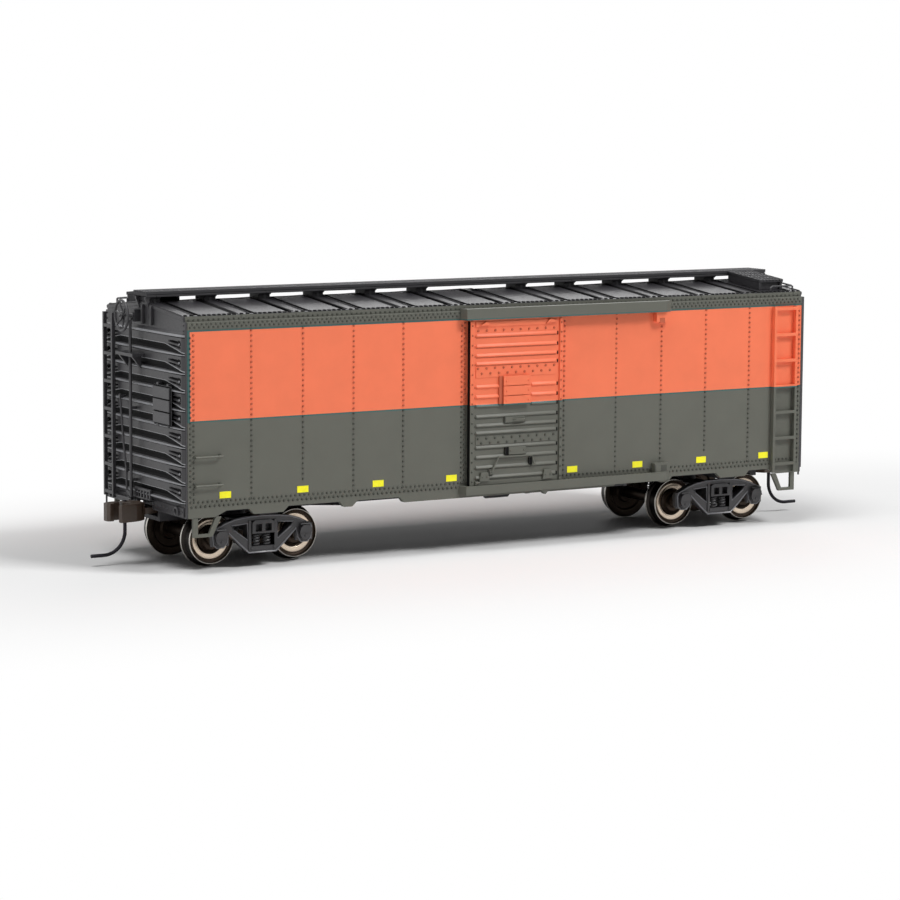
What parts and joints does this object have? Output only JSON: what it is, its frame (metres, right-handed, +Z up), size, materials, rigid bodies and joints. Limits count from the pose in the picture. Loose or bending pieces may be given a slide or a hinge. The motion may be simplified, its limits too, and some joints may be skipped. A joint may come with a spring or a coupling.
{
  "type": "model railroad boxcar",
  "caption": "Scale model boxcar with sliding doors, swivelling trucks, turning wheelsets and swinging knuckle couplers.",
  "frame": {"origin": "under the middle of the car, level with the lowest points of the wheel flanges", "axes": "+X toward the plain end, -X toward the end with the brake wheel, -Y toward the right side, +Z up"},
  "size_m": [0.1642, 0.0388, 0.0525],
  "materials": {
    "two_tone_side": "orange over olive grey paint on a moulded side, satin",
    "two_tone_door": "orange over olive grey paint, satin",
    "two_tone_ladder": "orange over olive grey paint, satin",
    "black_end": "black moulded plastic, satin",
    "black_roof": "black moulded plastic, satin",
    "black_walk": "black moulded plastic, matt",
    "floor_board": "dark moulded plastic, matt",
    "steel_weight": "rolled steel plate",
    "black_underframe": "black moulded plastic, satin",
    "screw_steel": "blackened pan head screw",
    "black_fittings": "black moulded plastic, satin",
    "olive_fittings": "olive grey paint, satin",
    "black_brake_gear": "black moulded plastic, satin",
    "black_trucks": "black acetal, satin",
    "plated_wheel": "turned metal, nickel plated, bright tread",
    "blackened_brass": "chemically blackened",
    "brown_coupler": "brown moulded plastic, satin",
    "blackened_steel": "bent steel wire, blackened"
  },
  "bodies": {
    "carbody": {"right_side": "two_tone_side", "left_side": "two_tone_side", "right_side_ladder": "two_tone_ladder", "left_side_ladder": "two_tone_ladder", "brake_end": "black_end", "plain_end": "black_end", "roof": "black_roof", "running_board": "black_walk", "roof_grabs": "black_walk", "floor": "floor_board", "steel_weight": "steel_weight", "underframe": "black_underframe", "centre_sill": "black_underframe", "brake_end_bolster": "black_underframe", "plain_end_bolster": "black_underframe", "crossbearers": "black_underframe", "brake_end_coupler_cover": "black_underframe", "plain_end_coupler_cover": "black_underframe", "brake_end_truck_screw": "screw_steel", "plain_end_truck_screw": "screw_steel", "brake_end_ladder": "black_fittings", "plain_end_ladder": "black_fittings", "brake_wheel": "black_fittings", "brake_housing": "black_fittings", "brake_rod": "black_fittings", "brake_platform": "black_fittings", "right_side_grabs": "olive_fittings", "left_side_grabs": "olive_fittings", "brake_right_step": "olive_fittings", "plain_right_step": "olive_fittings", "plain_left_step": "olive_fittings", "brake_left_step": "olive_fittings", "right_lower_track": "olive_fittings", "left_lower_track": "olive_fittings", "right_upper_track": "olive_fittings", "left_upper_track": "olive_fittings", "air_reservoir": "black_brake_gear", "brake_cylinder": "black_brake_gear", "control_valve": "black_brake_gear", "brake_levers": "black_brake_gear"},
    "right_door": {"right_door": "two_tone_door"},
    "left_door": {"left_door": "two_tone_door"},
    "brake_end_truck": {"brake_end_truck": "black_trucks"},
    "plain_end_truck": {"plain_end_truck": "black_trucks"},
    "wheelset_1": {"wheels_1": "plated_wheel", "axle_1": "blackened_brass"},
    "wheelset_2": {"wheels_2": "plated_wheel", "axle_2": "blackened_brass"},
    "wheelset_3": {"wheels_3": "plated_wheel", "axle_3": "blackened_brass"},
    "wheelset_4": {"wheels_4": "plated_wheel", "axle_4": "blackened_brass"},
    "brake_end_coupler": {"brake_end_coupler": "brown_coupler"},
    "brake_end_knuckle": {"brake_end_knuckle": "brown_coupler", "brake_end_trip_pin": "blackened_steel"},
    "plain_end_coupler": {"plain_end_coupler": "brown_coupler"},
    "plain_end_knuckle": {"plain_end_knuckle": "brown_coupler", "plain_end_trip_pin": "blackened_steel"}
  },
  "joints": [
    {"name": "right_door_slide", "type": "slide", "parent": "carbody", "child": "right_door", "axis": [1, 0, 0], "range_m": [0, 0.0224]},
    {"name": "left_door_slide", "type": "slide", "parent": "carbody", "child": "left_door", "axis": [-1, 0, 0], "range_m": [0, 0.0224]},
    {"name": "brake_end_truck_swivel", "type": "hinge", "parent": "carbody", "child": "brake_end_truck", "pos_m": [-0.0535, 0, 0.00864], "axis": [0, 0, 1], "range_deg": [-10, 10]},
    {"name": "plain_end_truck_swivel", "type": "hinge", "parent": "carbody", "child": "plain_end_truck", "pos_m": [0.0535, 0, 0.00864], "axis": [0, 0, 1], "range_deg": [-10, 10]},
    {"name": "wheelset_1_spin", "type": "hinge", "parent": "brake_end_truck", "child": "wheelset_1", "pos_m": [-0.0625, 0, 0.00544], "axis": [0, 1, 0], "continuous": true},
    {"name": "wheelset_2_spin", "type": "hinge", "parent": "brake_end_truck", "child": "wheelset_2", "pos_m": [-0.0445, 0, 0.00544], "axis": [0, 1, 0], "continuous": true},
    {"name": "wheelset_3_spin", "type": "hinge", "parent": "plain_end_truck", "child": "wheelset_3", "pos_m": [0.0445, 0, 0.00544], "axis": [0, 1, 0], "continuous": true},
    {"name": "wheelset_4_spin", "type": "hinge", "parent": "plain_end_truck", "child": "wheelset_4", "pos_m": [0.0625, 0, 0.00544], "axis": [0, 1, 0], "continuous": true},
    {"name": "brake_end_coupler_swing", "type": "hinge", "parent": "carbody", "child": "brake_end_coupler", "pos_m": [-0.0665, 0, 0.01049], "axis": [0, 0, 1], "range_deg": [-12, 12], "stiffness_Nm_per_rad": 0.0005},
    {"name": "brake_end_knuckle_open", "type": "hinge", "parent": "brake_end_coupler", "child": "brake_end_knuckle", "pos_m": [-0.075, 0.0019, 0.01049], "axis": [0, 0, -1], "range_deg": [0, 30], "stiffness_Nm_per_rad": 0.0002, "springref_deg": -11.46},
    {"name": "plain_end_coupler_swing", "type": "hinge", "parent": "carbody", "child": "plain_end_coupler", "pos_m": [0.0665, 0, 0.01049], "axis": [0, 0, 1], "range_deg": [-12, 12], "stiffness_Nm_per_rad": 0.0005},
    {"name": "plain_end_knuckle_open", "type": "hinge", "parent": "plain_end_coupler", "child": "plain_end_knuckle", "pos_m": [0.075, -0.0019, 0.01049], "axis": [0, 0, -1], "range_deg": [0, 30], "stiffness_Nm_per_rad": 0.0002, "springref_deg": -11.46}
  ]
}
